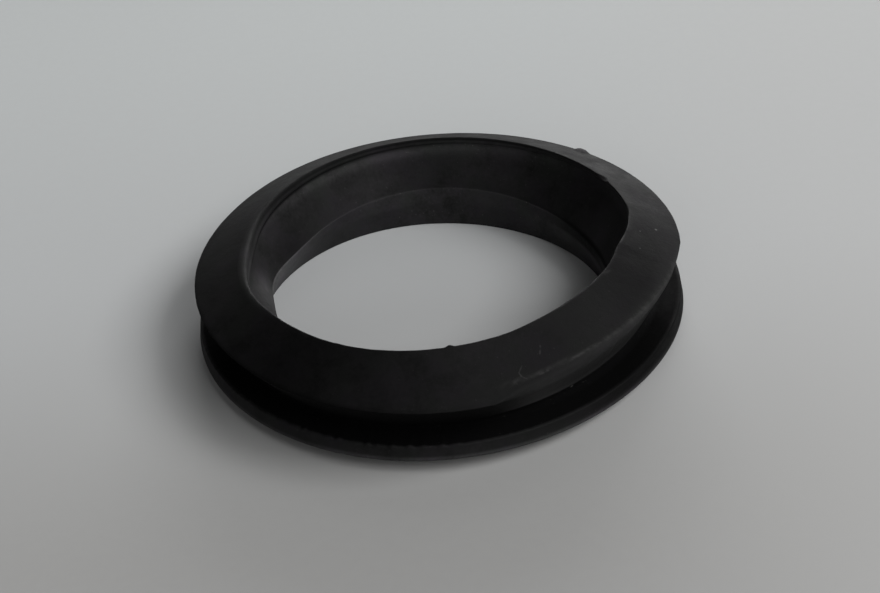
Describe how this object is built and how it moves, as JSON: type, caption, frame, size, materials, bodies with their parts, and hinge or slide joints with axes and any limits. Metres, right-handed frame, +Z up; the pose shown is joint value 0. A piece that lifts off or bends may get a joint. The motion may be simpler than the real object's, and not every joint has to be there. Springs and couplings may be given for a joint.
{
  "type": "rubber grip ring",
  "caption": "Low black rubber ring with a V-groove round the outside, a conical top, and a bore that narrows to a band for gripping a tube.",
  "frame": {"origin": "centre of the flat base, on the ring's axis", "axes": "+Z up along the ring's axis, from the flat base to the inner top edge; -Y and +X towards the worn stretch of the lip, which is at -43 degrees from +X"},
  "size_m": [0.046, 0.046, 0.0092],
  "materials": {
    "rubber": "matte black moulded rubber with faint mottling and dull scuffs"
  },
  "bodies": {
    "root": {"grip_ring": "rubber"}
  },
  "joints": []
}
